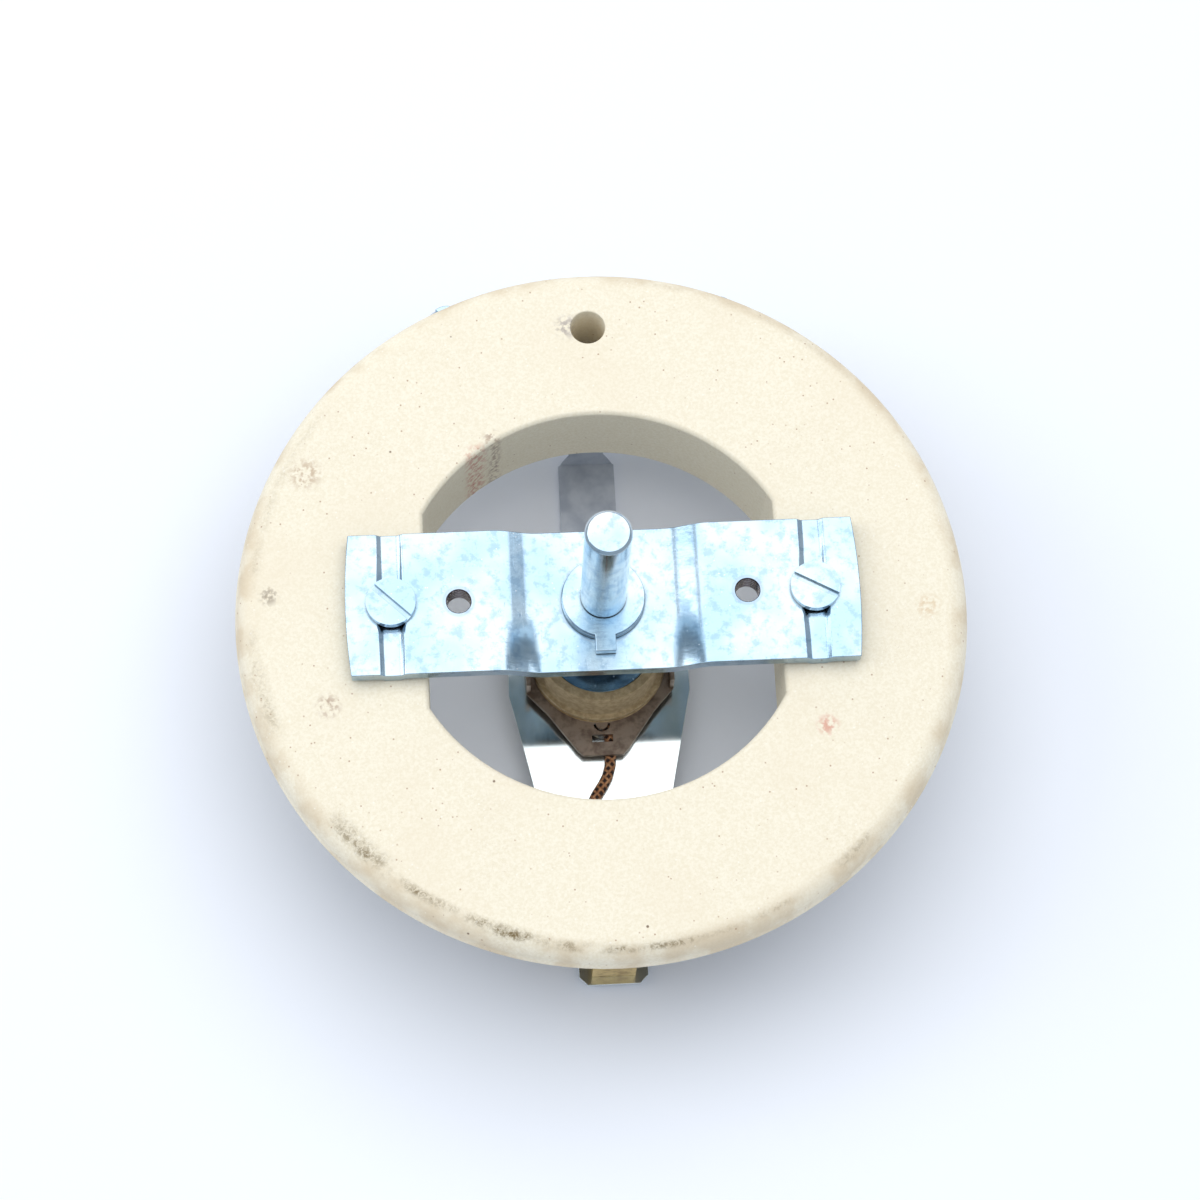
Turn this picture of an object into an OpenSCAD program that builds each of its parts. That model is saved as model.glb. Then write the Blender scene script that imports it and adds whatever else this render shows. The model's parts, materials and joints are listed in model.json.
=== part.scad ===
// Ring rheostat for panel mounting. Origin: shaft axis, in the plane of the panel face.
// +Z points out of the panel along the shaft, -Y is where the wiper stands at mid travel.

/* [Ceramic ring] */
// Outside diameter of the ring
ring_od = 128; // [124:1:140]
// Height of the ceramic body at its inner wall
ring_h = 18.3; // [16:0.1:20]
// Height of the ceramic rim at the outside
rim_h = 5.4; // [5.2:0.1:7]
// Thickness of the plate over the winding
plate_t = 4; // [3:0.1:4.8]
// Rounding of the outer edge of the upper face
edge_round = 3.8; // [2:0.1:3.8]
// Diameter of the central opening
hole_d = 71; // [68:0.5:74]
// Distance between the two flats of the central opening
hole_flats = 61.4; // [58:0.2:62.4]
// Bevel of the opening's upper edge
hole_bevel = 0.6; // [0.3:0.1:1]
// Inside diameter of the groove that holds the winding
trough_in_d = 86.4; // [85:0.2:87]
// Outside diameter of that groove
trough_out_d = 121.8; // [121.4:0.2:122.4]
// Half angle of the solid block between the ends of the winding
block_angle = 16.5; // [14:0.5:16.5]
// How far the block stands below the ring as a stop
block_drop = 5.6; // [4.8:0.1:7]
// Diameter of the small locating hole
pip_d = 6.2; // [5:0.1:7]
// Distance of the locating hole from the shaft axis
pip_radius = 52.3; // [50.3:0.5:54.3]

/* [Winding] */
// Number of turns of wire
turns = 160; // [60:1:180]
// Thickness of the wire
wire = 1; // [0.6:0.1:1.1]
// Radial width over the wound core
wound_w = 14.4; // [13:0.1:14.8]
// Thickness of the cement bed between the winding and the plate
bed_t = 1.7; // [1:0.1:4]
// Mean diameter of the winding
winding_d = 105; // [104:0.1:105.4]
// How far the bare track stands below the ceramic
track_drop = 1.6; // [1:0.1:3]
// Half angle at which the first turn starts
first_turn_angle = 28; // [28:0.5:35]

/* [Terminals] */
// Half angle between the two end terminals
terminal_angle = 22; // [22:0.1:22.8]
// Width of an end terminal
terminal_w = 8; // [7:0.1:8]
// Thickness of an end terminal
terminal_t = 1; // [0.8:0.1:1.2]
// How far the end terminals reach past the winding's groove
terminal_out = 9.8; // [8.8:0.5:15.8]
// Thread diameter of the terminal screws
terminal_thread = 4; // [3:0.5:4]
// Length of the terminal screws under the head
terminal_screw_l = 14; // [10:1:16]

/* [Bracket] */
// Length of the mounting bracket
bracket_l = 89.2; // [86.2:1:94.2]
// Width of the mounting bracket
bracket_w = 25.8; // [22:0.2:28]
// Thickness of the strip
bracket_t = 2.5; // [2:0.1:3]
// Height of the convex end arcs
end_bow = 0.75; // [0.3:0.05:1.5]
// How deep the middle of the bracket is set
middle_set = 2.3; // [1.5:0.1:2.6]
// Length of the set middle
middle_l = 21.4; // [18:0.2:24]
// Length of each slope next to the middle
slope_l = 8; // [5:0.5:9]
// Depth of the cross beads at the bracket screws
bead_depth = 0.8; // [0.4:0.1:1.2]
// Width of the cross beads
bead_w = 5; // [4:0.2:6]
// Distance of the bracket's screws from the winding's groove
screw_edge = 6.5; // [6:0.1:6.7]
// Thread diameter of those screws
screw_thread = 5; // [4:0.5:5]
// Head diameter of those screws
screw_head_d = 8.6; // [8:0.1:10]
// Head height of those screws
screw_head_h = 1.4; // [1:0.1:2.5]
// Distance between the two tapped panel holes
panel_pitch = 50; // [46:0.5:54]
// Core diameter of the tapped panel holes
panel_tap_d = 4.2; // [3.3:0.1:4.6]

/* [Shaft and bearing] */
// Shaft diameter
shaft_d = 8; // [6:0.5:9]
// Length of the shaft in front of the panel face
shaft_front = 30.6; // [20:0.2:60]
// Diameter of the shaft where it carries the hub
spigot_d = 6; // [5:0.5:6]
// Outside diameter of the bearing bush
bush_d = 12; // [11:0.5:13]
// Length of the bush below the bracket
bush_l = 13; // [8:0.5:16]
// Flange diameter of the bush
flange_d = 14.6; // [14:0.1:17]
// Flange thickness of the bush
flange_t = 1; // [0.8:0.1:1.5]
// Thickness of the retaining washer
retainer_t = 0.8; // [0.6:0.1:1]
// Width of the retaining washer's tab
tab_w = 3.5; // [2.5:0.1:4.5]
// Length of the retaining washer's tab
tab_l = 2.6; // [2:0.1:3]

/* [Wiper] */
// Depth of the hub's upper rim below the panel face
hub_depth = 23.8; // [23:0.1:26]
// Outside diameter of the ceramic hub
hub_d = 22.6; // [21:0.1:23]
// Height of the hub
hub_h = 9.2; // [7.2:0.1:10.2]
// Wall of the hub's cup
hub_wall = 1.7; // [1.4:0.1:2.5]
// Depth of the hub's cup
hub_cup = 2.4; // [2:0.1:4]
// Thickness of the drive disc in the cup
drive_disc_t = 1.6; // [1:0.1:1.8]
// Diameter of the hub's foot flange
hub_foot_d = 24.4; // [23.6:0.1:24.8]
// Thickness of the mica disc under the hub
mica_t = 0.3; // [0.2:0.1:0.6]
// Thickness of the collector plate
collector_t = 0.8; // [0.6:0.1:1.2]
// Distance of the collector plate's tip from the shaft axis
collector_reach = 18.4; // [17:0.1:20]
// Thickness of the wiper arm
arm_t = 0.7; // [0.5:0.1:1]
// Width of the wiper arm at the hub
arm_w = 33; // [30:0.5:36]
// Width of the wiper arm at the brush
arm_tip_w = 12.4; // [11.6:0.1:14]
// Slope of the wiper arm towards the brush, in degrees
arm_slope = 6.5; // [4:0.5:6.5]
// Thickness of the spacer between the collector plate and the arm
spacer_t = 2.1; // [2.1:0.1:2.6]
// Diameter of that spacer
spacer_d = 21; // [18:0.5:22]
// Diameter of the collector bush
collector_bush_d = 20; // [18:0.5:21]
// Height of the collector bush
collector_bush_h = 4.6; // [4.6:0.1:6]
// Width of the brush along the track
brush_w = 6; // [5:0.1:7]
// Length of the brush across the track
brush_l = 8; // [7:0.1:8.5]
// Height of the brush
brush_h = 11; // [9:0.1:12]
// Wall of the brush holder
holder_t = 0.8; // [0.6:0.1:1]

/* [Centre terminal] */
// Width of the centre terminal strip
strip_w = 10.4; // [9:0.1:12]
// Width of its shoulders beside the hub
strip_wide_w = 17; // [14:0.5:20]
// Thickness of the strip
strip_t = 1; // [0.8:0.1:1.5]
// Distance of the strip's bend from the shaft axis
strip_bend = 41.4; // [40:0.1:42]
// Distance of the strip's shoulders from the shaft axis
strip_shoulder = 28; // [24:0.5:30]
// Width of the neck that rises to the ring
neck_w = 6.4; // [5:0.1:8]
// Outside diameter of the strip's eye
eye_d = 25; // [24:0.5:28]
// Bore of the strip's eye
eye_bore = 12.6; // [12.2:0.1:13]

/* [Fits] */
// Radial play of the shaft in its bush
running_play = 0.05; // [0.02:0.01:0.08]
// Gap between sliding faces
slide_gap = 0.1; // [0.05:0.05:0.2]
// Play of screws in their holes
hole_play = 0.25; // [0.2:0.05:0.4]

/* [Hidden] */
$fn = 96;
eps = 0.01;

ring_r = ring_od / 2;
face_z = -bracket_t - bead_depth;
ring_low = face_z - ring_h;
track_z = ring_low - track_drop;
wound_r = winding_d / 2;
wound_in = wound_r - wound_w / 2;
wound_out = wound_r + wound_w / 2;
trough_in = trough_in_d / 2;
trough_out = trough_out_d / 2;
trough_top = face_z - plate_t;
terminal_reach = trough_out + terminal_out;
screw_pitch = trough_in_d - 2 * screw_edge;
wound_top = trough_top - bed_t;
wound_h = wound_top - track_z;
block_low = ring_low - block_drop;

middle_z = -middle_set;
retainer_low = middle_z + flange_t + slide_gap;
retainer_top = retainer_low + retainer_t;
bush_low = middle_z - bracket_t - bush_l;
journal_step = 0.3;
journal_r = shaft_d / 2 - journal_step;
knob_low = retainer_top + 0.3;

hub_low = -hub_depth - hub_h;
drive_top = -hub_depth - hub_cup + drive_disc_t;
collector_top = hub_low - mica_t;
collector_low = collector_top - collector_t;
arm_top = collector_low - spacer_t;
arm_low = arm_top - arm_t;
bush_end = arm_low - collector_bush_h;
strip_top = bush_end - slide_gap;
strip_low = strip_top - strip_t;
arm_bend = 13.6;
arm_reach = wound_r + brush_l / 2 + 2.4;
arm_drop = (wound_r - arm_bend) * tan(arm_slope);
seat_z = arm_top - arm_drop;
brush_top = track_z - slide_gap;
brush_low = brush_top - brush_h;
holder_play = 0.12;
holder_top = brush_top - 2.6;
rivet_r = 1.2;
ear_x = hub_foot_d / 2 + 0.35;

nut_h = 0.8 * screw_thread;
clamp_nut_h = 2.5;
terminal_hole_r = terminal_reach - terminal_w / 2;

// Route of the braided lead, from below the collector plate to the pocket in the brush.
braid_d = 2;
braid_route = [
    [1.2, -11.5, -35.15], [1.4, -14.5, -35.15], [1.4, -17.5, -35.15], [1.2, -19.8, -35.2], [0.6, -21.8, -35.3],
    [-0.3, -23.4, -35.4], [-1.4, -25, -35.5], [-2.6, -27.2, -35.5], [-3.5, -30, -35.4], [-3.9, -33.2, -35.1],
    [-3.7, -36.4, -34.6], [-3, -39.4, -33.8], [-2, -42, -32.7], [-1, -44.2, -31.5], [-0.3, -46, -30.5],
    [0, -47.8, -29.9], [0, -50, -29.7]
];

// A ring of rectangular section, or an arc of it that runs from one angle to another.
module band(r_in, r_out, z_low, z_high, from = 0, to = 360) {
    translate([0, 0, z_low]) rotate([0, 0, from]) rotate_extrude(angle = to - from)
        translate([r_in, 0]) square([r_out - r_in, z_high - z_low]);
}

module disc(r, z_low, z_high) {
    translate([0, 0, z_low]) cylinder(r = r, h = z_high - z_low);
}

module at_pair(x) {
    for (side = [-1, 1]) translate([side * x, 0, 0]) children();
}

// Turns its children to stand at an angle either side of the +Y direction.
module at_terminal(side) {
    rotate([0, 0, 90 - side * terminal_angle]) children();
}

module washer(r, bore, t) {
    difference() {
        cylinder(r = r, h = t);
        translate([0, 0, -1]) cylinder(r = bore, h = t + 2);
    }
}

module nut(thread, height) {
    difference() {
        cylinder(d = thread * 1.6 / cos(30), h = height, $fn = 6);
        translate([0, 0, -1]) cylinder(d = thread, h = height + 2);
    }
}

// A slotted screw that hangs from its head's underside at the origin.
module slotted_screw(thread, length, head_d, head_h, slot_turn) {
    difference() {
        union() {
            cylinder(d = head_d, h = head_h);
            translate([0, 0, -length]) cylinder(d = thread, h = length + eps);
        }
        rotate([0, 0, slot_turn]) translate([-head_d, -0.55, head_h / 2])
            cube([2 * head_d, 1.1, head_h]);
    }
}

// The central opening's outline: a circle cut by two flats.
module opening(r, half_flats, h) {
    intersection() {
        cylinder(r = r, h = h);
        translate([-half_flats, -r - 1, 0]) cube([2 * half_flats, 2 * r + 2, h]);
    }
}

module opening_bevel() {
    r = hole_d / 2;
    f = hole_flats / 2;
    c = hole_bevel;
    intersection() {
        cylinder(r1 = r - eps, r2 = r + c, h = c + eps);
        rotate([90, 0, 0]) linear_extrude(height = 4 * r, center = true)
            polygon([[-f + eps, 0], [f - eps, 0], [f + c, c + eps], [-f - c, c + eps]]);
    }
}

module ceramic_ring() {
    color([0.93, 0.88, 0.76]) difference() {
        union() {
            translate([0, 0, ring_low]) rotate_extrude() ring_section();
            band(trough_in + 2, wound_out - 1, block_low, ring_low + 1, 90 - block_angle, 90 + block_angle);
        }
        translate([0, 0, ring_low - 1]) opening(hole_d / 2, hole_flats / 2, ring_h + 2);
        translate([0, 0, face_z - hole_bevel]) opening_bevel();
        band(trough_in, trough_out, ring_low - 1, trough_top, 90 + block_angle, 450 - block_angle);
        at_pair(screw_pitch / 2) disc(screw_thread / 2 + hole_play, ring_low - 1, face_z + 1);
        translate([0, pip_radius, 0]) disc(pip_d / 2, block_low - 1, face_z + 1);
    }
}

// Half of the ring's section: a deep inner wall, a thin rim with a small lip and a round shoulder.
module ring_section() {
    rim = ring_h - rim_h;
    step = 0.35;
    arc = [for (a = [0 : 9 : 90])
        [ring_r - step - edge_round * (1 - cos(a)), ring_h - edge_round * (1 - sin(a))]];
    polygon(concat(
        [[20, 0], [wound_out, 0], [wound_out, rim], [ring_r, rim], [ring_r, rim + 0.8], [ring_r - step, rim + 1.2]],
        arc,
        [[20, ring_h]]));
}

module winding_core() {
    start = block_angle + 1;
    color([0.86, 0.84, 0.78])
        band(wound_in + wire, wound_out - wire, track_z + wire, wound_top - wire, 90 + start, 450 - start);
}

// Each turn is a closed frame of wire around the core.
module resistance_winding() {
    step = (360 - 2 * first_turn_angle) / (turns - 1);
    gap = 0.04;
    color([0.55, 0.5, 0.45]) for (i = [0 : turns - 1])
        rotate([0, 0, 90 + first_turn_angle + i * step]) translate([wound_in, wire / 2, track_z])
            rotate([90, 0, 0]) linear_extrude(height = wire) difference() {
                square([wound_w, wound_h]);
                translate([wire - gap, wire]) square([wound_w - 2 * wire + 2 * gap, wound_h - 2 * wire]);
            }
}

// Cement beds the winding under the plate and coats its sides, and leaves the track bare.
module winding_cement() {
    a = 90 + block_angle;
    b = 450 - block_angle;
    gap = 0.2;
    color([0.78, 0.77, 0.73]) {
        band(trough_in, trough_out, wound_top, trough_top, a, b);
        band(trough_in, wound_in - gap, track_z + 0.5, wound_top + eps, a, b);
        band(wound_out + gap, trough_out - 0.3, track_z + 3, wound_top + eps, a, b);
    }
}

// A terminal band wraps the core's end and runs out under the ring as a round-ended lug.
module end_terminal(side) {
    bow = 0.2;
    color([0.72, 0.75, 0.78]) at_terminal(side) difference() {
        union() {
            translate([wound_in, -terminal_w / 2, track_z]) cube([wound_w, terminal_w, wound_h]);
            translate([wound_in, -terminal_w / 2, track_z])
                cube([terminal_reach - terminal_w / 2 - wound_in, terminal_w, terminal_t]);
            translate([terminal_reach - terminal_w / 2, 0, 0])
                disc(terminal_w / 2, track_z, track_z + terminal_t);
        }
        translate([wound_in + wire - bow, -terminal_w, track_z + wire])
            cube([wound_w - 2 * wire + 2 * bow, 2 * terminal_w, wound_h - 2 * wire]);
        translate([terminal_hole_r, 0, 0]) disc(terminal_thread / 2 + hole_play, track_z - 1, track_z + 3);
    }
}

module at_terminal_screws() {
    for (side = [-1, 1]) at_terminal(side) translate([terminal_hole_r, 0, track_z]) children();
}

module terminal_screws() {
    color([0.75, 0.77, 0.8]) at_terminal_screws() translate([0, 0, terminal_t])
        slotted_screw(terminal_thread, terminal_screw_l, terminal_thread * 1.75, terminal_thread * 0.5, 25);
}

module terminal_washers() {
    color([0.75, 0.77, 0.8]) at_terminal_screws() translate([0, 0, -0.8])
        washer(terminal_thread, terminal_thread / 2 + hole_play / 2, 0.8);
}

module terminal_nuts() {
    color([0.75, 0.77, 0.8]) at_terminal_screws()
        translate([0, 0, -0.8 - terminal_thread * 0.8])
            nut(terminal_thread, terminal_thread * 0.8);
}

function ease(t) = (1 - cos(180 * min(max(t, 0), 1))) / 2;

// Height of the bracket's upper face at a distance x from the shaft axis.
function bracket_height(x) =
    -middle_set * (1 - ease((abs(x) - middle_l / 2) / slope_l))
    - bead_depth * (1 - ease((abs(abs(x) - screw_pitch / 2) - 1.2) / (bead_w / 2 - 1.2)));

function bracket_half() = concat(
    [for (k = [0 : 8]) middle_l / 2 + slope_l * k / 8],
    [for (k = [-1 : 0.2 : -0.4]) screw_pitch / 2 + k * bead_w / 2],
    [for (k = [0.4 : 0.2 : 1.01]) screw_pitch / 2 + k * bead_w / 2]);

module bracket_profile() {
    half = bracket_half();
    n = len(half) - 1;
    x = concat([-bracket_l / 2 - 1], [for (k = [n : -1 : 0]) -half[k]], half, [bracket_l / 2 + 1]);
    m = len(x) - 1;
    polygon(concat(
        [for (v = x) [v, bracket_height(v)]],
        [for (k = [m : -1 : 0]) [x[k], bracket_height(x[k]) - bracket_t]]));
}

module mounting_bracket() {
    bow_r = (pow(bracket_w / 2, 2) + pow(end_bow, 2)) / (2 * end_bow);
    color([0.78, 0.84, 0.9]) difference() {
        union() {
            intersection() {
                rotate([90, 0, 0]) linear_extrude(height = bracket_w, center = true) bracket_profile();
                translate([bracket_l / 2 - bow_r, 0, -10]) cylinder(r = bow_r, h = 20);
                translate([bow_r - bracket_l / 2, 0, -10]) cylinder(r = bow_r, h = 20);
            }
            at_pair(panel_pitch / 2) disc(panel_tap_d / 2 + 1.5, -bracket_t - 1.8, -bracket_t + 0.5);
        }
        at_pair(panel_pitch / 2) disc(panel_tap_d / 2, -10, 10);
        at_pair(screw_pitch / 2) disc(screw_thread / 2 + hole_play, -10, 10);
        disc(bush_d / 2, -10, 10);
    }
}

module bracket_screws() {
    length = -ring_low + 1 + nut_h + 1.4;
    color([0.8, 0.82, 0.85]) for (side = [-1, 1]) translate([side * screw_pitch / 2, 0, 0])
        slotted_screw(screw_thread, length, screw_head_d, screw_head_h, side < 0 ? -44 : -29);
}

module bracket_washers() {
    color([0.6, 0.45, 0.3]) at_pair(screw_pitch / 2) translate([0, 0, ring_low - 1])
        washer(screw_thread, screw_thread / 2 + hole_play / 2, 1);
}

module bracket_nuts() {
    color([0.78, 0.8, 0.84]) at_pair(screw_pitch / 2) translate([0, 0, ring_low - 1 - nut_h])
        nut(screw_thread, nut_h);
}

module bearing_bush() {
    color([0.7, 0.72, 0.74]) difference() {
        union() {
            disc(bush_d / 2, bush_low, middle_z + flange_t);
            disc(flange_d / 2, middle_z, middle_z + flange_t);
            disc(bush_d / 2 + 1.6, middle_z - bracket_t - 1.6, middle_z - bracket_t);
        }
        disc(journal_r + running_play, bush_low - 1, middle_z + flange_t + 1);
    }
}

// The strip runs out under the wiper, rises past the winding's gap and ends below the stop block.
module strip_profile() {
    rise_low = strip_bend;
    rise_top = strip_bend + 4.4;
    seat = block_low;
    polygon([
        [0, strip_low], [rise_low + 0.9, strip_low], [rise_top + 0.5, seat - strip_t],
        [trough_out - 2, seat - strip_t], [trough_out - 2, seat], [rise_top - 0.4, seat],
        [rise_low, strip_top], [0, strip_top]
    ]);
}

module strip_plan() {
    w = strip_w / 2;
    wide = strip_wide_w / 2;
    nose = 9.3;
    difference() {
        union() {
            circle(d = eye_d);
            polygon([[-wide, 0], [wide, 0], [wide, strip_shoulder - 1.8], [w, strip_shoulder],
                [-w, strip_shoulder], [-wide, strip_shoulder - 1.8]]);
            intersection() {
                translate([-w, 0]) square([strip_w, strip_bend + 3]);
                translate([0, strip_bend + 1.4 - nose]) circle(r = nose);
            }
            translate([-w, 0]) square([strip_w, strip_bend - 0.6]);
            translate([-neck_w / 2, 0]) square([neck_w, trough_out]);
        }
        circle(d = eye_bore);
    }
}

module centre_terminal() {
    color([0.76, 0.77, 0.8]) difference() {
        union() {
            intersection() {
                rotate([90, 0, 90]) linear_extrude(height = 60, center = true) strip_profile();
                translate([0, 0, strip_low - 1]) linear_extrude(height = 40) strip_plan();
            }
            translate([0, 0, strip_low]) linear_extrude(height = strip_t) intersection() {
                strip_plan();
                translate([-30, -30]) square([60, 30 + eps]);
            }
        }
        translate([0, pip_radius, 0]) disc(pip_d / 2 - 1.2, block_low - 5, block_low + 1);
    }
}

module centre_rivet() {
    color([0.8, 0.81, 0.84]) translate([0, pip_radius, 0]) difference() {
        union() {
            disc(pip_d / 2 + 1.4, block_low - strip_t - 0.8, block_low - strip_t);
            disc(pip_d / 2 - 1.2, block_low - strip_t - eps, block_low + eps);
            disc(pip_d / 2, block_low, block_low + 9);
        }
        disc(1, block_low - 5, block_low + 10);
    }
}

// A slotted washer that sits in the shaft's groove, with a tab bent over towards the wiper.
module retaining_washer() {
    groove_r = journal_r - 0.5;
    color([0.82, 0.85, 0.88]) difference() {
        union() {
            disc(flange_d / 2 - 0.15, retainer_low, retainer_top);
            translate([-tab_w / 2, -flange_d / 2 - tab_l, retainer_low]) cube([tab_w, flange_d / 2, retainer_t]);
            translate([-tab_w / 2, -flange_d / 2 - tab_l, middle_z + 0.15])
                cube([tab_w, 0.7, retainer_low - middle_z]);
        }
        disc(groove_r, retainer_low - 1, retainer_top + 1);
        translate([-groove_r, 0, retainer_low - 1]) cube([2 * groove_r, flange_d, retainer_t + 2]);
    }
}

module shaft() {
    tip = 0.5;
    end_z = arm_low - 1.8 - clamp_nut_h;
    color([0.85, 0.88, 0.9]) difference() {
        union() {
            disc(shaft_d / 2, knob_low, shaft_front - tip);
            disc(journal_r, drive_top, knob_low + eps);
            translate([0, 0, shaft_front - tip]) cylinder(d1 = shaft_d, d2 = shaft_d - 2 * tip, h = tip);
            disc(spigot_d / 2, end_z, drive_top + eps);
        }
        band(journal_r - 0.5, shaft_d, retainer_low, retainer_top);
        at_pair(spigot_d / 2 + 4.5) translate([-5, -5, drive_top - drive_disc_t]) cube([10, 10, drive_disc_t]);
    }
}

// The steel disc turns with the shaft's two flats and carries the hub round by two pins.
module drive_disc() {
    color([0.6, 0.7, 0.8]) difference() {
        disc(hub_d / 2 - hub_wall - 0.15, drive_top - drive_disc_t, drive_top);
        intersection() {
            disc(spigot_d / 2, drive_top - 2, drive_top + 1);
            translate([-spigot_d / 2 + 0.5, -5, drive_top - 2]) cube([spigot_d - 1, 10, 4]);
        }
        at_pair(6) disc(1, drive_top - 2, drive_top + 1);
    }
}

module drive_pins() {
    color([0.8, 0.82, 0.85]) at_pair(6) disc(1, drive_top - drive_disc_t - 3, drive_top);
}

module contact_hub() {
    color([0.85, 0.77, 0.64]) difference() {
        union() {
            disc(hub_d / 2, hub_low, -hub_depth);
            disc(hub_foot_d / 2, hub_low, hub_low + 1.3);
        }
        disc(hub_d / 2 - hub_wall, -hub_depth - hub_cup, -hub_depth + 1);
        disc(spigot_d / 2, hub_low - 1, -hub_depth);
        at_pair(6) disc(1, -hub_depth - hub_cup - 3, -hub_depth);
    }
}

module mica_disc() {
    color([0.72, 0.62, 0.45])
        difference() {
            disc(hub_foot_d / 2 + 0.1, collector_top, hub_low);
            disc(spigot_d / 2, collector_top - 1, hub_low + 1);
        }
}

// An outline's points on the right, followed by the same points on the left.
function mirrored(points) = concat(points, [for (k = [len(points) - 1 : -1 : 0]) [-points[k][0], points[k][1]]]);

module collector_plate() {
    tip = collector_reach;
    half = ear_x + collector_t;
    color([0.5, 0.45, 0.4]) difference() {
        union() {
            translate([0, 0, collector_low]) linear_extrude(height = collector_t)
                polygon(mirrored([[half, 6], [half, -6.2], [9.6, -10.4], [4.7, -tip + 1.1], [3.6, -tip]]));
            for (side = [-1, 1]) translate([side * (ear_x + collector_t / 2) - collector_t / 2, -6.2, collector_low])
                cube([collector_t, 12.2, 5.4]);
        }
        disc(spigot_d / 2 + 1, collector_low - 1, collector_top + 1);
        translate([-1.9, -tip + 2.5, collector_low - 1]) cube([3.8, 1.4, 3]);
        translate([0, 0, collector_low - 1]) linear_extrude(height = 3) difference() {
            translate([0, -tip + 6]) circle(r = 1.5);
            translate([0, -tip + 6]) circle(r = 1.1);
            translate([-2, -tip + 6]) square([4, 4]);
        }
    }
}

module arm_spacer() {
    color([0.7, 0.72, 0.74]) translate([0, 0, arm_top]) washer(spacer_d / 2, spigot_d / 2 + 1, spacer_t);
}

module arm_plan() {
    w = arm_w / 2;
    tip = arm_tip_w / 2;
    polygon(mirrored([[w - 4, 14.5], [w, 10.5], [w, -5.6], [tip, -wound_r], [tip, -arm_reach + 1.5], [tip - 1.5, -arm_reach]]));
}

module arm_profile() {
    polygon([
        [20, arm_top], [-arm_bend, arm_top], [-arm_bend - 2, arm_top - 0.1], [-wound_r + 5.6, seat_z],
        [-80, seat_z], [-80, seat_z - arm_t], [-wound_r + 5.6, seat_z - arm_t],
        [-arm_bend - 2, arm_low - 0.1], [-arm_bend, arm_low], [20, arm_low]
    ]);
}

module wiper_arm() {
    color([0.8, 0.84, 0.86]) difference() {
        intersection() {
            rotate([90, 0, 90]) linear_extrude(height = 80, center = true) arm_profile();
            translate([0, 0, seat_z - 5]) linear_extrude(height = 30) arm_plan();
        }
        disc(spigot_d / 2 + 1, seat_z - 5, arm_top + 1);
        translate([0, -wound_r, 0]) disc(rivet_r, seat_z - 5, arm_top + 1);
    }
}

module collector_bush() {
    color([0.72, 0.68, 0.5]) difference() {
        disc(collector_bush_d / 2, bush_end, arm_low);
        disc(eye_bore / 2, bush_end - 1, arm_low + 1);
    }
}

module insulating_washer() {
    color([0.8, 0.76, 0.66]) translate([0, 0, arm_low - 1]) washer(eye_bore / 2 - 0.1, spigot_d / 2, 1);
}

module clamp_washer() {
    color([0.75, 0.77, 0.8]) translate([0, 0, arm_low - 1.8]) washer(eye_bore / 2 - 0.5, spigot_d / 2, 0.8);
}

module clamp_nut() {
    color([0.75, 0.77, 0.8]) translate([0, 0, arm_low - 1.8 - clamp_nut_h]) nut(spigot_d, clamp_nut_h);
}

// A folded box, open above, that guides the brush on all four sides.
module brush_holder() {
    w = brush_w + 2 * holder_play;
    l = brush_l + 2 * holder_play;
    t = holder_t;
    color([0.75, 0.66, 0.4]) difference() {
        translate([-w / 2 - t, -wound_r - l / 2 - t, seat_z]) cube([w + 2 * t, l + 2 * t, holder_top - seat_z]);
        translate([-w / 2, -wound_r - l / 2, seat_z + t]) cube([w, l, 30]);
        translate([-1.6, -wound_r + l / 2 - 1, brush_low + 2]) cube([3.2, 4, brush_h]);
        translate([0, -wound_r, 0]) disc(rivet_r, seat_z - 1, seat_z + 2);
    }
}

module holder_rivet() {
    color([0.78, 0.7, 0.5]) translate([0, -wound_r, 0]) union() {
        disc(rivet_r, seat_z - arm_t - eps, seat_z + holder_t + eps);
        disc(rivet_r + 1.2, seat_z - arm_t - 0.7, seat_z - arm_t);
        disc(rivet_r + 0.5, seat_z + holder_t, seat_z + holder_t + 0.5);
    }
}

module contact_brush() {
    color([0.25, 0.24, 0.24]) difference() {
        translate([-brush_w / 2, -wound_r - brush_l / 2, brush_low]) cube([brush_w, brush_l, brush_h]);
        translate([-1.6, -wound_r + brush_l / 2 - 2.4, brush_low + 2.2]) cube([3.2, 4, 5.2]);
    }
}

// Sections of a round cord swept along its route, joined into one closed skin.
function route_dir(p, i) =
    let (a = p[max(i - 1, 0)], b = p[min(i + 1, len(p) - 1)], d = b - a) d / norm(d);
function route_ring(p, i, r, sides) =
    let (d = route_dir(p, i), u = cross(d, [0, 0, 1]) / norm(cross(d, [0, 0, 1])), v = cross(u, d))
    [for (k = [0 : sides - 1]) p[i] + r * (cos(360 * k / sides) * u + sin(360 * k / sides) * v)];

module swept_cord(p, r, sides = 8) {
    n = len(p);
    points = [for (i = [0 : n - 1]) each route_ring(p, i, r, sides)];
    skin = [for (i = [0 : n - 2]) for (k = [0 : sides - 1])
        let (j = (k + 1) % sides) [i * sides + k, i * sides + j, (i + 1) * sides + j, (i + 1) * sides + k]];
    caps = [[for (k = [sides - 1 : -1 : 0]) k], [for (k = [0 : sides - 1]) (n - 1) * sides + k]];
    polyhedron(points, concat(skin, caps));
}

// The coil stands around the rivet's head and presses the brush against the track.
module brush_spring() {
    low = seat_z + holder_t + 0.3;
    high = brush_low - 0.3;
    coils = 3.5;
    steps = 12 * coils;
    color([0.6, 0.6, 0.62]) swept_cord(
        [for (k = [0 : steps]) [2.3 * cos(30 * k), 2.3 * sin(30 * k) - wound_r, low + (high - low) * k / steps]],
        0.28, 6);
}

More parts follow.
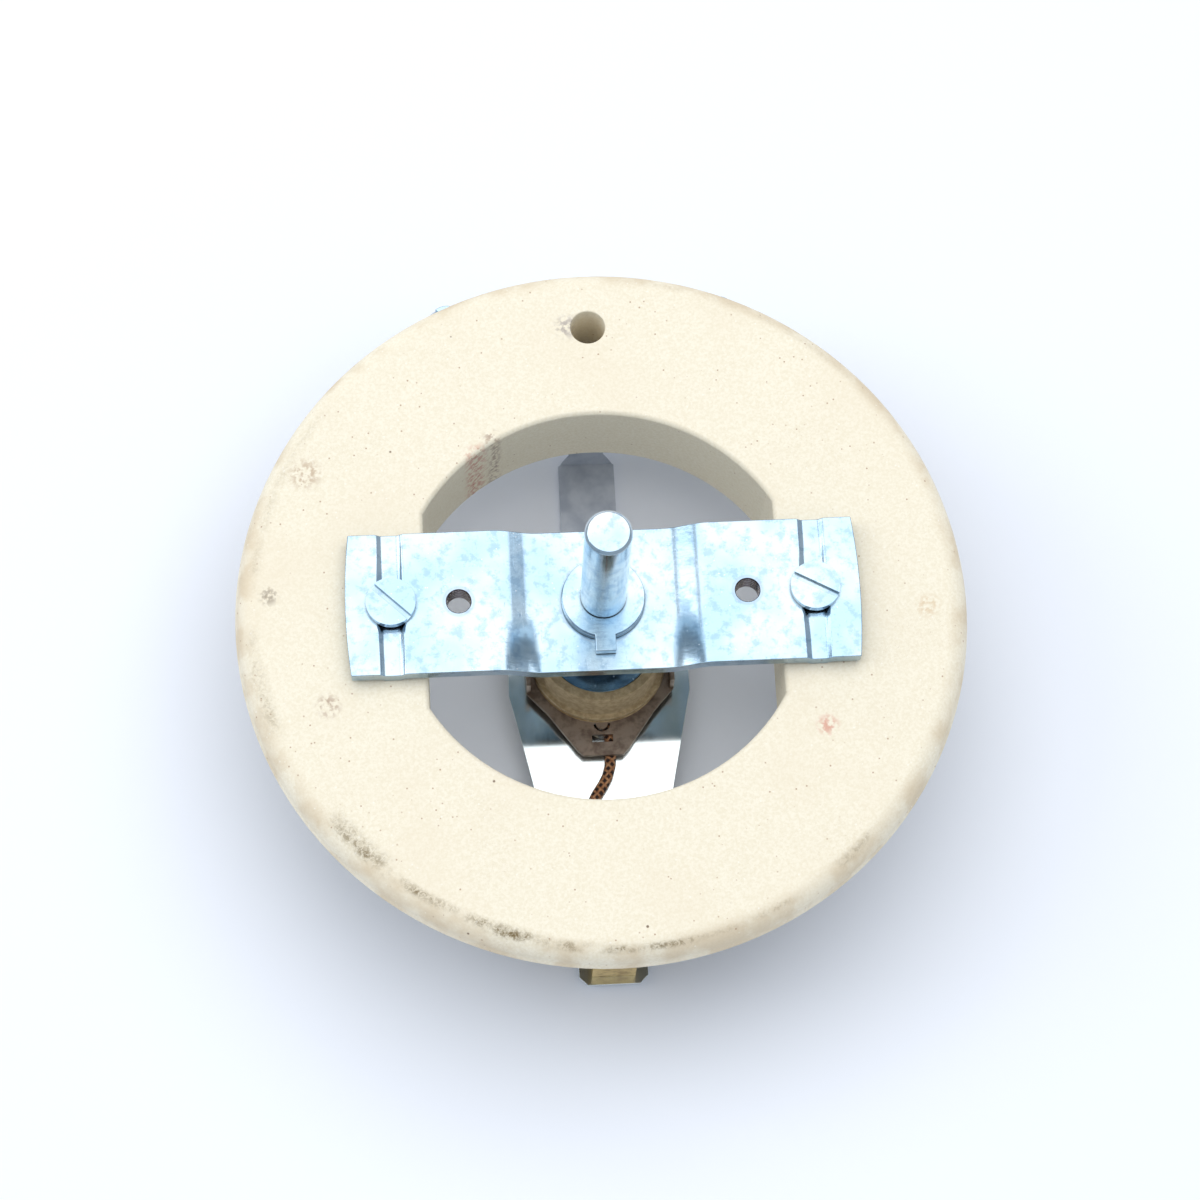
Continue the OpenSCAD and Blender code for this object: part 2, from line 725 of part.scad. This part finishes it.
module braided_lead() {
    color([0.45, 0.3, 0.2]) swept_cord(braid_route, braid_d / 2);
}

ceramic_ring();
winding_core();
resistance_winding();
winding_cement();
end_terminal(-1);  // end_terminal_left
end_terminal(1);  // end_terminal_right
terminal_screws();
terminal_washers();
terminal_nuts();
mounting_bracket();
bracket_screws();
bracket_washers();
bracket_nuts();
bearing_bush();
centre_terminal();
centre_rivet();
retaining_washer();
shaft();
drive_disc();
drive_pins();
contact_hub();
mica_disc();
collector_plate();
arm_spacer();
wiper_arm();
collector_bush();
insulating_washer();
clamp_washer();
clamp_nut();
brush_holder();
holder_rivet();
contact_brush();
brush_spring();
braided_lead();
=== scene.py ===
import json
import math

import bmesh
import bpy
from mathutils import Matrix, Vector


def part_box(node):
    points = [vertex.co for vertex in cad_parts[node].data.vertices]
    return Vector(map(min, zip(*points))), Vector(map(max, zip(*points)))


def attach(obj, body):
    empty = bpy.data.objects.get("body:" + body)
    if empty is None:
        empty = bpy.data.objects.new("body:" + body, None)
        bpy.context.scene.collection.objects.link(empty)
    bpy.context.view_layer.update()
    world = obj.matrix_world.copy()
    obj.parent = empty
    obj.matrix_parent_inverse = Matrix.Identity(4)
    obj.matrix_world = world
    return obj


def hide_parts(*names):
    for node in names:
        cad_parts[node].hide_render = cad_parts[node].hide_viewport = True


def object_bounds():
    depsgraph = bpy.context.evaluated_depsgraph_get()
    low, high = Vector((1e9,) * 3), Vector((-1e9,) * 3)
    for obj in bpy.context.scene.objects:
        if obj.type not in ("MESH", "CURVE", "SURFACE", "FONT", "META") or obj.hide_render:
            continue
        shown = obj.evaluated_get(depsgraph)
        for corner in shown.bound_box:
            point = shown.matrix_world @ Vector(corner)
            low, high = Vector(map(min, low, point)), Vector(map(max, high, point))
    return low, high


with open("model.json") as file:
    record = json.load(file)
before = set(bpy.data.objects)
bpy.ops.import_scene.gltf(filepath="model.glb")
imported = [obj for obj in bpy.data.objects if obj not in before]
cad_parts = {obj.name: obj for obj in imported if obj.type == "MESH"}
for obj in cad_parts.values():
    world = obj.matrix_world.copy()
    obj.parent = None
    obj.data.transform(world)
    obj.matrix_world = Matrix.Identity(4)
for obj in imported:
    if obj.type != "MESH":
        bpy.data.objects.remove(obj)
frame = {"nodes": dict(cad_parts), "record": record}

CAD_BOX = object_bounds()
MM = 0.001
TO_MM = 1000.0
NODES = frame["nodes"]


# ---------------------------------------------------------------- colours and shader maths

def srgb(red, green, blue):
    """A colour given in 0-255 display values, as the linear colour that a shader takes."""
    linear = [
        v / 255 / 12.92 if v / 255 <= 0.04045 else ((v / 255 + 0.055) / 1.055) ** 2.4
        for v in (red, green, blue)
    ]
    return (*linear, 1.0)


class Signal:
    """A socket in a node tree; arithmetic on it adds Math nodes."""

    def __init__(self, network, socket):
        self.network = network
        self.socket = socket

    def maths(self, operation, *values):
        return self.network.node("Math", {"operation": operation}, dict(enumerate(values)))

    def __add__(self, other):
        return self.maths("ADD", self, other)

    def __radd__(self, other):
        return self.maths("ADD", other, self)

    def __sub__(self, other):
        return self.maths("SUBTRACT", self, other)

    def __rsub__(self, other):
        return self.maths("SUBTRACT", other, self)

    def __mul__(self, other):
        return self.maths("MULTIPLY", self, other)

    def __rmul__(self, other):
        return self.maths("MULTIPLY", other, self)

    def __truediv__(self, other):
        return self.maths("DIVIDE", self, other)

    def __pow__(self, other):
        return self.maths("POWER", self, other)

    def size(self):
        return self.maths("ABSOLUTE", self)

    def sine(self):
        return self.maths("SINE", self)

    def fade(self, start, end):
        """0 at start and 1 at end, with a soft rise between."""
        settings = {"interpolation_type": "SMOOTHSTEP"}
        values = {"Value": self, "From Min": start, "From Max": end, "To Min": 0.0, "To Max": 1.0}
        return self.network.node("MapRange", settings, values)


class Network:
    """A node tree, with the socket work in one method."""

    def __init__(self, tree):
        self.tree = tree

    def node(self, kind, settings=None, values=None, output=0):
        """Adds a node, sets it up, fills or links its sockets and gives one of its outputs."""
        made = self.tree.nodes.new("ShaderNode" + kind)
        for key, value in (settings or {}).items():
            setattr(made, key, value)
        for key, value in (values or {}).items():
            if isinstance(value, Signal):
                self.tree.links.new(value.socket, made.inputs[key])
            else:
                made.inputs[key].default_value = value
        return Signal(self, made.outputs[output])


class Finish(Network):
    """One procedural material."""

    def __init__(self, name, **shader_values):
        self.material = bpy.data.materials.new(name)
        self.material.use_nodes = True
        super().__init__(self.material.node_tree)
        self.shader = self.tree.nodes["Principled BSDF"]
        for key, value in shader_values.items():
            self.shader.inputs[key.replace("_", " ")].default_value = value
        self.place = self.node("TexCoord", output="Object")
        axes = self.node("SeparateXYZ", values={"Vector": self.place}).socket.node
        self.x, self.y, self.z = (Signal(self, axes.outputs[i]) for i in range(3))

    def noise(self, size_mm, detail=2.0, roughness=0.5, at=None, distortion=0.0):
        """Soft noise whose features are about size_mm across."""
        values = {
            "Vector": at or self.place, "Scale": TO_MM / size_mm,
            "Detail": detail, "Roughness": roughness, "Distortion": distortion,
        }
        return self.node("TexNoise", values=values)

    def cells(self, size_mm):
        """Distance to the nearest point of a random scatter spaced about size_mm apart."""
        return self.node("TexVoronoi", values={"Vector": self.place, "Scale": TO_MM / size_mm})

    def stretched(self, along_x=1.0, along_y=1.0, along_z=1.0, turn=(0, 0, 0)):
        """Coordinates in which a texture is drawn out where the share is under 1."""
        values = {"Vector": self.place, "Scale": (along_x, along_y, along_z), "Rotation": turn}
        return self.node("Mapping", values=values)

    def mix(self, share, first, second):
        """A colour between two colours."""
        return self.node("Mix", {"data_type": "RGBA"}, {0: share, 6: first, 7: second}, output=2)

    def radius(self, x=0.0, y=0.0):
        """Distance from an upright axis through x, y in millimetres, in millimetres."""
        across = (self.x - x * MM) * TO_MM
        along = (self.y - y * MM) * TO_MM
        return (across * across + along * along) ** 0.5

    def bearing(self):
        """Angle round the shaft in degrees, from +X towards +Y."""
        return self.y.maths("ARCTAN2", self.y, self.x) * (180.0 / math.pi)

    def bump(self, height, strength, depth_mm):
        """A normal that follows the height, depth_mm deep."""
        values = {"Height": height, "Strength": strength, "Distance": depth_mm * MM}
        return self.node("Bump", values=values)

    def set(self, **sockets):
        """Links what varies to the shader and gives the finished material."""
        for key, value in sockets.items():
            self.tree.links.new(value.socket, self.shader.inputs[key.replace("_", " ")])
        return self.material


# ---------------------------------------------------------------- finishes

PANEL_HOLE_X = frame["record"]["mounts"][0]["dims"]["spacing_x_mm"] / 2
HOLE_R = frame["record"]["mounts"][0]["dims"]["hole_r_mm"]
THREAD_PITCH = 0.8
LINK_PITCH = 1.5
WEAR_RING_R = 7.8
TRACK_R = 52.5
RUST_SPECK = (6.2, -1.5)
# middle and half length of the arc in degrees, its radius and width in mm, and its strength
EDGE_GRIME = (
    (-122, 24, 60.9, 1.5, 0.85), (-103, 13, 61.4, 1.2, 0.95), (-88, 12, 61.8, 0.9, 0.8),
    (-50, 7, 61.5, 1.3, 0.5), (-136, 8, 59.8, 2.2, 0.5), (-70, 12, 61.8, 0.8, 0.3),
    (60, 30, 61.5, 1.0, 0.15), (160, 24, 60.8, 1.6, 0.2), (-168, 12, 60.8, 2.2, 0.35),
)
# x, y and reach of each stain in mm, and its colour; the purple-grey one at -3.7, 52.5 is painted shade
# at the small hole through the ring
STAINS_AND_HOLE_SHADE = (
    (-20.5, 28.0, 3.4, srgb(190, 84, 60)), (37.5, -24.0, 2.6, srgb(200, 92, 70)),
    (-18.0, 31.5, 2.2, srgb(120, 70, 50)), (-57.8, 3.5, 2.4, srgb(90, 64, 44)),
    # painted shade: the purple-grey patch at the small hole through the ring
    (-3.7, 52.5, 3.2, srgb(120, 108, 118)), (-51.0, 26.0, 4.0, srgb(160, 120, 84)),
    (-48.0, -17.0, 3.0, srgb(130, 78, 50)), (56.5, -3.0, 3.0, srgb(210, 180, 140)),
)


def cream_ceramic():
    """Unglazed cream ceramic with fine grains, brown specks and handling marks."""
    f = Finish("cream_ceramic", Specular_IOR_Level=0.35)
    grain = f.noise(0.5, 3.0, 0.6)
    cloud = f.noise(26.0, 3.0, 0.55)
    body = f.mix(grain.fade(0.3, 0.7), srgb(232, 222, 198), srgb(241, 233, 213))
    body = f.mix(cloud.fade(0.42, 0.7) * 0.4, body, srgb(231, 218, 194))
    radius = f.radius()
    bearing = f.bearing()
    # painted shade on the rounded edge where it turns from the light: a little browner, in patches
    edge_shade = radius.fade(59.5, 62.8) * f.noise(7.0, 3.0).fade(0.4, 0.65)
    body = f.mix(edge_shade * 0.55, body, srgb(206, 184, 150))
    pale = f.cells(1.3).fade(0.16, 0.08) * f.noise(3.0).fade(0.45, 0.6)
    body = f.mix(pale * 0.5, body, srgb(250, 246, 236))
    dots = f.cells(1.7).fade(0.13, 0.05) * f.noise(5.0, 1.0).fade(0.46, 0.58)
    body = f.mix(dots * 0.7, body, srgb(158, 116, 86))
    spots = f.cells(8.0).fade(0.042, 0.022) * f.noise(14.0, 1.0).fade(0.45, 0.55)
    body = f.mix(spots * 0.85, body, srgb(104, 76, 54))
    scuff = (f.noise(3.0, 4.0, 0.8, distortion=2.0) - 0.5).size().fade(0.006, 0.001)
    scuff = scuff * f.noise(18.0, 1.0).fade(0.55, 0.66)
    body = f.mix(scuff * 0.3, body, srgb(170, 146, 118))
    # grime caught in the near edge
    ragged = f.noise(0.8, 4.0, 0.75, distortion=0.8)
    wide = f.noise(6.0, 2.0).fade(0.32, 0.6)
    for middle, half, ring, width, strength in EDGE_GRIME:
        along = (bearing - middle).size().fade(half, half * 0.5)
        across = (radius - ring).size().fade(width, 0.0)
        share = along * across * (ragged.fade(0.4, 0.62) * 0.75 + 0.25) * wide * strength
        body = f.mix(share, body, srgb(112, 92, 52))
    # stains, and the painted shade at the small hole
    for x, y, reach, colour in STAINS_AND_HOLE_SHADE:
        stain_and_hole_shade = f.radius(x, y).fade(reach, reach * 0.2) * f.noise(0.9, 3.0).fade(0.42, 0.62)
        body = f.mix(stain_and_hole_shade * 0.55, body, colour)
    height = grain * 0.6 + f.noise(0.3, 2.0) * 0.4 - dots * 0.8 - spots
    return f.set(Base_Color=body, Roughness=grain * 0.1 + 0.72, Normal=f.bump(height, 0.3, 0.1))


def plain_ceramic(name, pale, dark):
    """Plain ceramic of the inner pieces, with few specks."""
    f = Finish(name, Specular_IOR_Level=0.3)
    grain = f.noise(0.9, 3.0, 0.6)
    dots = f.cells(2.0).fade(0.12, 0.05) * f.noise(5.0, 1.0).fade(0.5, 0.62)
    body = f.mix(grain.fade(0.35, 0.7), dark, pale)
    body = f.mix(dots * 0.5, body, srgb(110, 90, 64))
    return f.set(Base_Color=body, Roughness=grain * 0.12 + 0.7, Normal=f.bump(grain, 0.3, 0.08))


def crevices(f, reach_mm):
    """Painted-shade mask: 1 in narrow gaps and corners, 0 on open faces."""
    reach = {"Distance": reach_mm * MM}
    open_share = f.node("AmbientOcclusion", {"samples": 6}, reach, output="AO")
    return open_share.fade(0.85, 0.3)


def zinc_plate(name, colour, rough=0.2, scratch=1.0, bracket=False):
    """Bright zinc plate: a faint blue film, rolling lines, small scratches and dull spots, with painted
    shade in gaps and corners.
    """
    f = Finish(name, Metallic=1.0)
    film = f.noise(14.0, 3.0, 0.55)
    tint = f.mix(film.fade(0.38, 0.66), colour, srgb(160, 188, 208))
    spangle = f.noise(2.2, 4.0, 0.65)
    tint = f.mix(spangle.fade(0.48, 0.66) * 0.5, tint, srgb(118, 150, 176))
    lines = f.noise(0.5, 2.0, 0.5, at=f.stretched(0.12, 1.0, 1.0))
    slanting = f.stretched(1.0, 0.25, 1.0, turn=(0, 0, 0.6))
    marks = f.noise(1.2, 4.0, 0.75, at=slanting, distortion=1.0).fade(0.62, 0.74)
    freckles = f.cells(1.2).fade(0.13, 0.06) * f.noise(6.0, 1.0).fade(0.48, 0.6)
    tint = f.mix(freckles * 0.6 * scratch, tint, srgb(244, 248, 250))
    tint = f.mix(marks * 0.35 * scratch, tint, srgb(150, 170, 186))
    # mask of the painted shade in gaps and corners
    gap_shade = crevices(f, 0.9)
    roughness = lines * 0.1 + marks * 0.22 * scratch + spangle * 0.1 + freckles * 0.3
    roughness = roughness + (rough - 0.13)
    height = lines * 0.5 + marks * 0.5 * scratch + f.noise(5.0, 1.0) * 1.2
    if bracket:
        # both tapped holes at once: threads inside, a raised rim around; the walls inside carry painted
        # shade with painted highlights on the thread crests
        across = (f.x.size() * TO_MM - PANEL_HOLE_X) ** 2.0
        hole = (across + (f.y * TO_MM) ** 2.0) ** 0.5
        hole_wall = hole.fade(HOLE_R + 0.2, HOLE_R + 0.05)
        turns = (f.z * (2.0 * math.pi * TO_MM / THREAD_PITCH)).sine()
        # painted shade inside the holes, then painted highlights in stripes on the thread crests
        tint = f.mix(hole_wall, tint, srgb(112, 96, 108))
        tint = f.mix(hole_wall * turns.fade(0.0, 0.9), tint, srgb(214, 206, 204))
        rim = (hole - (HOLE_R + 0.45)).size().fade(0.45, 0.1)
        # painted shade on the raised rim round each hole
        tint = f.mix(rim * 0.45, tint, srgb(140, 152, 166))
        worn = (f.radius() - WEAR_RING_R).size().fade(0.35, 0.05) * spangle.fade(0.4, 0.6)
        tint = f.mix(worn * 0.5, tint, srgb(150, 164, 176))
        height = height + rim * 3.0 + hole_wall * turns * 4.0
        speck = f.radius(*RUST_SPECK).fade(0.7, 0.3)
        tint = f.mix(speck, tint, srgb(206, 130, 60))
    # painted shade: gaps and corners, such as round the screw heads, are darkened towards dark olive
    tint = f.mix(gap_shade * 0.8, tint, srgb(74, 76, 66))
    return f.set(Base_Color=tint, Roughness=roughness, Normal=f.bump(height, 0.25, 0.06))


def dull_tin(name, colour):
    """Tinned strip gone dull and cloudy."""
    f = Finish(name, Metallic=0.45)
    cloud = f.noise(5.0, 3.0, 0.6)
    tint = f.mix(cloud.fade(0.35, 0.7), colour, srgb(206, 212, 222))
    return f.set(Base_Color=tint, Roughness=cloud * 0.2 + 0.34, Normal=f.bump(cloud, 0.2, 0.05))


def bright_leaf():
    """Hard rolled strip of the wiper arm, nearly a mirror."""
    f = Finish("bright_rolled_strip", Metallic=1.0)
    cloud = f.noise(7.0, 3.0, 0.55)
    lines = f.noise(0.4, 1.0, 0.5, at=f.stretched(1.0, 0.08, 1.0))
    tint = f.mix(cloud.fade(0.4, 0.7), srgb(206, 214, 214), srgb(226, 231, 230))
    roughness = lines * 0.06 + cloud * 0.08 + 0.1
    return f.set(Base_Color=tint, Roughness=roughness, Normal=f.bump(lines, 0.1, 0.03))


def tarnished_plate(name, colour, dark):
    """Clouded plate with dark pits."""
    f = Finish(name, Metallic=0.85)
    cloud = f.noise(2.6, 4.0, 0.65)
    pits = f.cells(0.8).fade(0.16, 0.06) * f.noise(2.2).fade(0.5, 0.65)
    tint = f.mix(cloud.fade(0.4, 0.68), colour, dark)
    tint = f.mix(pits * 0.6, tint, srgb(50, 42, 36))
    return f.set(Base_Color=tint, Roughness=cloud * 0.25 + 0.32, Normal=f.bump(cloud - pits, 0.25, 0.05))


def grey_cement():
    """Sandy grey cement over the winding."""
    f = Finish("grey_cement", Specular_IOR_Level=0.25)
    sand = f.noise(0.7, 4.0, 0.7)
    lump = f.noise(4.0, 2.0)
    body = f.mix(sand.fade(0.35, 0.7), srgb(160, 154, 142), srgb(196, 190, 176))
    body = f.mix(lump.fade(0.45, 0.7) * 0.4, body, srgb(132, 124, 110))
    return f.set(Base_Color=body, Roughness=sand * 0.1 + 0.8, Normal=f.bump(sand + lump, 0.6, 0.3))


def resistance_alloy():
    """Wire darkened by heat, with the track rubbed bare where the brush runs."""
    f = Finish("resistance_alloy", Metallic=0.85)
    track_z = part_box("resistance_winding")[0].z
    off_track = (f.radius() - TRACK_R).size()
    bare = off_track.fade(4.6, 3.4) * (f.z - track_z).fade(0.8 * MM, 0.2 * MM)
    cloud = f.noise(3.0, 3.0, 0.6)
    dark = f.mix(cloud.fade(0.35, 0.7), srgb(74, 62, 54), srgb(106, 94, 84))
    tint = f.mix(bare, dark, srgb(196, 186, 170))
    roughness = 0.5 - bare * 0.25 + cloud * 0.1
    return f.set(Base_Color=tint, Roughness=roughness, Normal=f.bump(cloud, 0.2, 0.05))


def carbon_block():
    """Pressed graphite of the brush."""
    f = Finish("carbon_block", Metallic=0.25)
    grain = f.noise(0.5, 3.0, 0.6)
    body = f.mix(grain.fade(0.35, 0.7), srgb(44, 44, 46), srgb(70, 70, 74))
    return f.set(Base_Color=body, Roughness=grain * 0.2 + 0.38, Normal=f.bump(grain, 0.2, 0.05))


def mica_sheet():
    """Flaky amber mica."""
    f = Finish("mica_sheet", Coat_Weight=0.3)
    flake = f.noise(2.0, 3.0, 0.6, at=f.stretched(1.0, 1.0, 6.0))
    body = f.mix(flake.fade(0.4, 0.65), srgb(150, 122, 82), srgb(206, 184, 142))
    return f.set(Base_Color=body, Roughness=flake * 0.3 + 0.25, Normal=f.bump(flake, 0.2, 0.05))


def pressed_fibre():
    """Red-brown insulating fibre."""
    f = Finish("pressed_fibre", Specular_IOR_Level=0.3)
    fleck = f.noise(0.8, 4.0, 0.7, at=f.stretched(1.0, 1.0, 3.0))
    body = f.mix(fleck.fade(0.4, 0.66), srgb(112, 70, 46), srgb(150, 98, 66))
    return f.set(Base_Color=body, Roughness=fleck * 0.2 + 0.62, Normal=f.bump(fleck, 0.3, 0.06))


def copper_strand():
    """Thin tarnished copper strands, plaited: slanting links with painted shade in the dark lines
    between them.
    """
    f = Finish("copper_strand", Metallic=0.55)
    step = 2.0 * math.pi * TO_MM / LINK_PITCH
    rising = ((f.y + f.x) * step).sine()
    falling = ((f.y - f.x) * step).sine()
    links = rising.maths("MAXIMUM", rising, falling).fade(-0.2, 0.9)
    cloud = f.noise(0.7, 3.0, 0.6)
    tint = f.mix(cloud.fade(0.38, 0.66), srgb(150, 98, 62), srgb(196, 148, 108))
    # painted shade: the gaps between the links are darkened
    tint = f.mix(links, srgb(52, 34, 26), tint)
    height = links + f.noise(0.2, 1.0) * 0.3
    return f.set(Base_Color=tint, Roughness=cloud * 0.2 + 0.42, Normal=f.bump(height, 0.6, 0.15))


FINISHES = {
    "cream_ceramic": cream_ceramic(),
    "core_ceramic": plain_ceramic("core_ceramic", srgb(214, 208, 192), srgb(190, 182, 164)),
    # the hub's ceramic is painted darker and browner than the ring's cream: painted shade, as the hub
    # lies in shade inside the ring
    "hub_ceramic": plain_ceramic("hub_ceramic", srgb(186, 166, 132), srgb(160, 140, 108)),
    "cement": grey_cement(),
    "resistance_wire": resistance_alloy(),
    "tinned_steel": dull_tin("dull_tin", srgb(180, 188, 202)),
    "zinc_steel": zinc_plate("zinc_plate", srgb(186, 203, 214)),
    "shaft_steel": zinc_plate("plated_shaft", srgb(198, 206, 208), rough=0.17, scratch=0.4),
    "spring_steel": bright_leaf(),
    "nickel_silver": tarnished_plate("tarnished_plate", srgb(148, 132, 118), srgb(110, 94, 82)),
    "brass": tarnished_plate("plain_brass", srgb(206, 178, 112), srgb(160, 130, 74)),
    "mica": mica_sheet(),
    "fibre": pressed_fibre(),
    "graphite": carbon_block(),
    "braid": copper_strand(),
}
OWN_FINISH = {"mounting_bracket": zinc_plate("bracket_plate", srgb(186, 203, 214), bracket=True)}
SLOT_OF = {part["node"]: part["material_slot"] for part in frame["record"]["subparts"]}


# ---------------------------------------------------------------- pieces

# an edge sharper than this is rounded, and one that stays sharper is shaded sharp
EDGE_ANGLE = math.radians(35.0)


def body_of(node):
    """The name of the body that a CAD node moves with."""
    bodies = frame["record"]["behaviour"]["bodies"]
    return next(body for body, members in bodies.items() if node in members)


def finished(piece, node):
    """Gives a new piece its shading, its body and its finish, and hides the node it stands for."""
    mesh = piece.data
    mesh.shade_smooth()
    mesh.set_sharp_from_angle(angle=EDGE_ANGLE)
    mesh.materials.append(OWN_FINISH.get(node) or FINISHES[SLOT_OF[node]])
    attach(piece, body_of(node))
    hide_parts(node)


def as_piece(bm, name):
    """Turns a worked mesh into an object in the scene."""
    mesh = bpy.data.meshes.new(name)
    bmesh.ops.recalc_face_normals(bm, faces=bm.faces)
    bm.to_mesh(mesh)
    bm.free()
    piece = bpy.data.objects.new(name, mesh)
    bpy.context.scene.collection.objects.link(piece)
    return piece


def merged_copy(node):
    """The node's mesh with its loose triangles joined and its flat faces made whole."""
    bm = bmesh.new()
    bm.from_mesh(NODES[node].data)
    bmesh.ops.remove_doubles(bm, verts=bm.verts, dist=0.002 * MM)
    bmesh.ops.dissolve_limit(bm, angle_limit=math.radians(0.5), verts=bm.verts, edges=bm.edges)
    return bm


def round_edges(bm, width):
    """Rounds every sharp edge."""
    sharp = [e for e in bm.edges if len(e.link_faces) == 2 and e.calc_face_angle() > EDGE_ANGLE]
    bmesh.ops.bevel(
        bm, geom=sharp, offset=width, offset_type="OFFSET", segments=2,
        profile=0.5, affect="EDGES", clamp_overlap=True, material=-1,
    )


def softened(node, width_mm):
    """Puts a copy with rounded edges in a CAD node's place."""
    bm = merged_copy(node)
    round_edges(bm, width_mm * MM)
    piece = as_piece(bm, node + "_piece")
    weight = piece.modifiers.new("even_shading", "WEIGHTED_NORMAL")
    weight.keep_sharp = True
    finished(piece, node)


# width of the rounded edges in mm; a node that isn't here keeps its CAD mesh
SOFT_EDGES = {
    "mounting_bracket": 0.3, "bracket_screws": 0.22, "terminal_screws": 0.2, "terminal_washers": 0.12,
    "terminal_nuts": 0.25, "bracket_washers": 0.15, "bracket_nuts": 0.3, "bearing_bush": 0.2,
    "centre_terminal": 0.12, "centre_rivet": 0.3, "retaining_washer": 0.12, "shaft": 0.12,
    "drive_disc": 0.15, "drive_pins": 0.15, "contact_hub": 0.3, "collector_plate": 0.12,
    "arm_spacer": 0.2, "wiper_arm": 0.1, "collector_bush": 0.25, "clamp_washer": 0.12,
    "clamp_nut": 0.25, "brush_holder": 0.15, "holder_rivet": 0.3, "contact_brush": 0.3,
    "end_terminal_left": 0.15, "end_terminal_right": 0.15, "ceramic_ring": 0.35,
}
for node, width in SOFT_EDGES.items():
    softened(node, width)

for node, cad in NODES.items():
    if node not in SOFT_EDGES:
        cad.data.materials.clear()
        cad.data.materials.append(FINISHES[SLOT_OF[node]])


# ---------------------------------------------------------------- stage, light and camera

ROOM_LIGHT = 0.66
ROOM_SEEN = 1.15
FLOOR_HALF = 2.5


def studio_floor(level):
    """A plain pale floor, seen as near white and keeping the object's shadow."""
    f = Finish("studio_floor", Specular_IOR_Level=0.0)
    tone = f.noise(900.0, 1.0)
    body = f.mix(tone, srgb(236, 240, 248), srgb(240, 243, 249))
    f.set(Base_Color=body, Roughness=tone * 0.05 + 0.9)
    bm = bmesh.new()
    bmesh.ops.create_grid(bm, x_segments=1, y_segments=1, size=FLOOR_HALF)
    bmesh.ops.translate(bm, verts=bm.verts, vec=(0, 0, level))
    floor = as_piece(bm, "studio_floor")
    floor.data.materials.append(f.material)


def softbox(name, watts, place, size, colour):
    """A square lamp that faces the origin."""
    light = bpy.data.lights.new(name, "AREA")
    light.energy = watts
    light.color = colour
    light.size = size
    holder = bpy.data.objects.new(name, light)
    holder.location = place
    holder.rotation_euler = (-Vector(place)).to_track_quat("-Z", "Y").to_euler()
    bpy.context.scene.collection.objects.link(holder)


def soft_world():
    """An even pale room: seen directly it is as white as the floor, and its light is softer."""
    world = bpy.data.worlds.new("soft_room")
    world.use_nodes = True
    bpy.context.scene.world = world
    room = Network(world.node_tree)
    background = room.tree.nodes["Background"]
    background.inputs["Color"].default_value = srgb(232, 240, 250)
    seen = room.node("LightPath", output="Is Camera Ray")
    strength = seen * (ROOM_SEEN - ROOM_LIGHT) + ROOM_LIGHT
    room.tree.links.new(strength.socket, background.inputs["Strength"])


def camera():
    """Looks down on the part from the wiper's side, a little to the left."""
    azimuth, elevation, roll = (math.radians(v) for v in (7.286, 69.979, -4.584))
    ahead = Vector((
        math.sin(azimuth) * math.cos(elevation),
        math.cos(azimuth) * math.cos(elevation),
        -math.sin(elevation),
    ))
    right = Vector((math.cos(azimuth), -math.sin(azimuth), 0.0))
    up = right.cross(ahead)
    view_right = math.cos(roll) * right - math.sin(roll) * up
    view_up = math.sin(roll) * right + math.cos(roll) * up
    data = bpy.data.cameras.new("studio_camera")
    data.sensor_width = 36.0
    data.lens = 104.21
    data.clip_start = 0.01
    holder = bpy.data.objects.new("studio_camera", data)
    turn = Matrix((view_right, view_up, -ahead)).transposed()
    place = Vector((-0.02668, -0.20446, 0.56346))
    holder.matrix_world = Matrix.Translation(place) @ turn.to_4x4()
    bpy.context.scene.collection.objects.link(holder)
    bpy.context.scene.camera = holder


studio_floor(CAD_BOX[0].z - 0.05 * MM)
soft_world()
softbox("overhead_softbox", 14.0, (0.1, 0.3, 1.25), size=1.7, colour=(1.0, 0.99, 0.98))
softbox("left_softbox", 3.4, (-1.0, 0.2, 0.8), size=0.7, colour=(0.96, 0.98, 1.0))
camera()

bpy.context.scene.view_settings.view_transform = "Standard"
